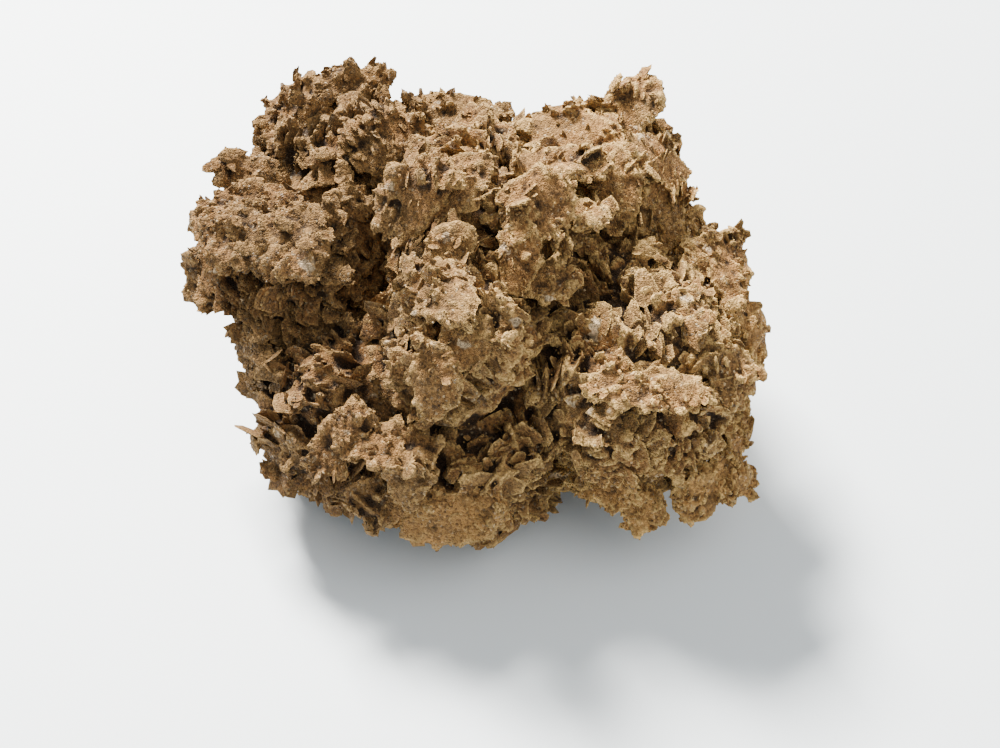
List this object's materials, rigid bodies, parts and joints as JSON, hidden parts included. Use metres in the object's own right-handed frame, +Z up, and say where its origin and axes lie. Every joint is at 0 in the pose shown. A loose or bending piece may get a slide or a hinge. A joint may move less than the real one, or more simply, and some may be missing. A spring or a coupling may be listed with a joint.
{
  "type": "gypsum sand rose",
  "caption": "Natural cluster of intergrown rosettes of flat, lens-shaped gypsum crystals full of sand, as a hand-size mineral specimen to display.",
  "frame": {"origin": "bottom centre of the bounding box, on the surface that the rose rests on", "axes": "+X to the right along the longest side, +Y away from the viewer's side to the back, +Z up"},
  "size_m": [0.112, 0.096, 0.0685],
  "materials": {
    "sandy_mass": "rough, matt and sandy, pitted between the blades",
    "sandy_blade": "rough and matt, crusted with sand grains, paler at the rims",
    "honey_gypsum": "slightly translucent honey gypsum, satin on its cleavage faces"
  },
  "bodies": {
    "root": {"back_blade_1": "sandy_blade", "back_blade_2": "sandy_blade", "back_blade_3": "sandy_blade", "back_blade_4": "sandy_blade", "back_blade_5": "sandy_blade", "back_low_blade_1": "sandy_blade", "back_low_blade_2": "sandy_blade", "back_low_blade_3": "sandy_blade", "back_mass": "sandy_mass", "crown_brow_blade": "sandy_blade", "crown_column_blade": "sandy_blade", "crown_disc_blade": "sandy_blade", "crown_leaf_blade": "sandy_blade", "crown_mass": "sandy_mass", "crown_small_blade": "sandy_blade", "crown_spindle_blade": "sandy_blade", "crown_tall_blade": "sandy_blade", "east_brow_blade": "sandy_blade", "east_disc_blade": "sandy_blade", "east_fan_blade_1": "honey_gypsum", "east_fan_blade_2": "honey_gypsum", "east_fan_blade_3": "honey_gypsum", "east_fan_blade_4": "honey_gypsum", "east_honey_blade": "honey_gypsum", "east_mass": "sandy_mass", "east_shoulder_blade": "sandy_blade", "east_side_blade": "sandy_blade", "front_bright_blade": "sandy_blade", "front_curl_blade": "sandy_blade", "front_dark_blade": "sandy_blade", "front_fang_blade": "sandy_blade", "front_mass": "sandy_mass", "front_roof_blade": "sandy_blade", "north_east_edge_blade": "sandy_blade", "north_east_flap_blade": "sandy_blade", "north_east_mass": "sandy_mass", "north_east_slope_blade": "sandy_blade", "north_east_spire_blade": "sandy_blade", "north_east_tip_blade": "sandy_blade", "north_east_wall_blade": "sandy_blade", "north_west_broad_blade": "sandy_blade", "north_west_finger_blade": "sandy_blade", "north_west_knob_blade": "sandy_blade", "north_west_mass": "sandy_mass", "north_west_ridge_blade": "sandy_blade", "north_west_tower_blade": "sandy_blade", "south_amber_plate": "honey_gypsum", "south_lump_blade": "sandy_blade", "south_mass": "sandy_mass", "south_round_blade": "sandy_blade", "south_shelf_blade": "sandy_blade", "south_west_finger_blade": "sandy_blade", "south_west_mass": "sandy_mass", "west_keel_blade": "sandy_blade", "west_long_blade": "sandy_blade", "west_mass": "sandy_mass", "west_point_blade": "sandy_blade", "west_shadow_blade": "sandy_blade", "west_shelf_blade": "sandy_blade", "west_spike_blade": "sandy_blade"}
  },
  "joints": []
}
